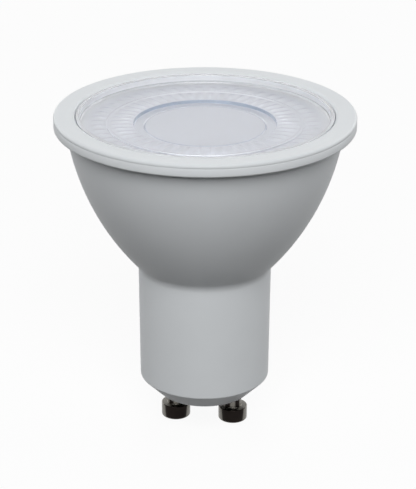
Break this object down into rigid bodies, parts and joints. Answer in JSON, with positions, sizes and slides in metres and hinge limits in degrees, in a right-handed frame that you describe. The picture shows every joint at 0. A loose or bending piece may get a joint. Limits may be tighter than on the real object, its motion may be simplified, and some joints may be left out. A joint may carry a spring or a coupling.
{
  "type": "led spotlight bulb",
  "caption": "Reflector-shaped LED spotlight bulb with a white bowl and neck, a ribbed clear lens set into a flat rim, and a twist-lock base with mushroom-headed contact pins.",
  "frame": {"origin": "on the lamp axis, on the bottom face of the foot, midway between the two contact pins", "axes": "+Z along the lamp axis towards the lens, X through the two contact pins"},
  "size_m": [0.05, 0.05, 0.0561],
  "materials": {
    "white_plastic": "satin moulded white plastic",
    "clear_plastic": "clear moulded plastic, slightly diffusing",
    "aluminium_cup": "plain drawn aluminium",
    "white_board": "aluminium board with white coating",
    "led_package": "white package with a clear resin window",
    "screw_steel": "plated steel",
    "driver_laminate": "green glass-fibre board",
    "can_sleeve": "dark shrink sleeve",
    "ferrite": "dark ferrite",
    "copper_winding": "enamelled copper",
    "fuse_body": "blue-grey lacquer",
    "black_package": "black moulded package",
    "chip_ceramic": "dark ceramic chip",
    "red_insulation": "red wire insulation",
    "black_insulation": "black wire insulation",
    "white_insulation": "white wire insulation",
    "pin_metal": "dark nickel plate on turned metal"
  },
  "bodies": {
    "root": {"board_screws": "screw_steel", "bridge_rectifier": "black_package", "chip_resistors": "chip_ceramic", "contact_pin_left": "pin_metal", "contact_pin_right": "pin_metal", "driver_board": "driver_laminate", "driver_ic": "black_package", "freewheel_diode": "black_package", "fuse_resistor": "fuse_body", "heat_sink_cup": "aluminium_cup", "housing": "white_plastic", "inductor_core": "ferrite", "inductor_winding": "copper_winding", "input_capacitor": "can_sleeve", "led_board": "white_board", "led_inner_1": "led_package", "led_inner_2": "led_package", "led_inner_3": "led_package", "led_outer_1": "led_package", "led_outer_2": "led_package", "led_outer_3": "led_package", "led_outer_4": "led_package", "led_outer_5": "led_package", "led_outer_6": "led_package", "led_outer_7": "led_package", "led_wire_negative": "black_insulation", "led_wire_positive": "red_insulation", "lens": "clear_plastic", "live_wire": "black_insulation", "neutral_wire": "white_insulation", "output_capacitor": "can_sleeve"}
  },
  "joints": []
}
